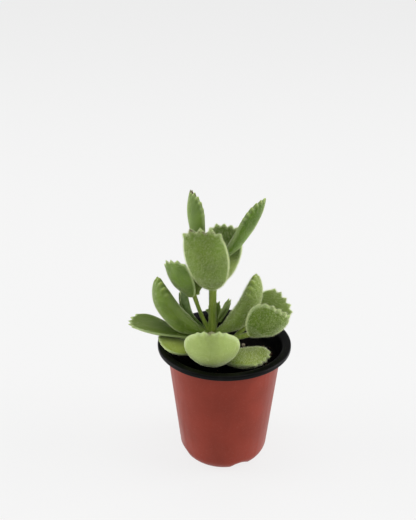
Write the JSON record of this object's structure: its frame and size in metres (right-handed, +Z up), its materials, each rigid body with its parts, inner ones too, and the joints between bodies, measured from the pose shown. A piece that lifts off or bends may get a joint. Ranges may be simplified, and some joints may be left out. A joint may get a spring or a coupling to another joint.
{
  "type": "potted bears paw succulent",
  "caption": "Small upright succulent with thick velvety leaves toothed at the tip like paws, growing in a round tapered nursery pot.",
  "frame": {"origin": "middle of the flat underside of the pot, on the surface it stands on", "axes": "+Z up; -Y towards the front, where the broad low leaf points; +X to the right seen from the front"},
  "size_m": [0.1105, 0.09, 0.1937],
  "materials": {
    "pot_plastic": "thin terracotta red plastic outside, black inside and on the rim, satin",
    "potting_soil": "damp dark peat with a few bark and pumice grains, matt",
    "stem_skin": "green, finely downy",
    "leaf_skin": "fleshy green, covered in short white velvet hairs"
  },
  "bodies": {
    "root": {"pot": "pot_plastic", "soil": "potting_soil", "stem": "stem_skin", "leaf_top_left": "leaf_skin", "leaf_top_right": "leaf_skin", "leaf_top_front": "leaf_skin", "leaf_top_back": "leaf_skin", "leaf_mid_left": "leaf_skin", "leaf_mid_right": "leaf_skin", "leaf_left": "leaf_skin", "leaf_right": "leaf_skin", "leaf_front": "leaf_skin", "leaf_back": "leaf_skin", "leaf_low_left": "leaf_skin", "leaf_foot_left": "leaf_skin", "leaf_foot_right": "leaf_skin", "leaf_side_front": "leaf_skin", "leaf_side_back": "leaf_skin", "leaf_shoot_right": "leaf_skin", "leaf_shoot_front": "leaf_skin", "leaf_shoot_back": "leaf_skin", "leaf_bud_front": "leaf_skin", "leaf_bud_back": "leaf_skin"}
  },
  "joints": []
}
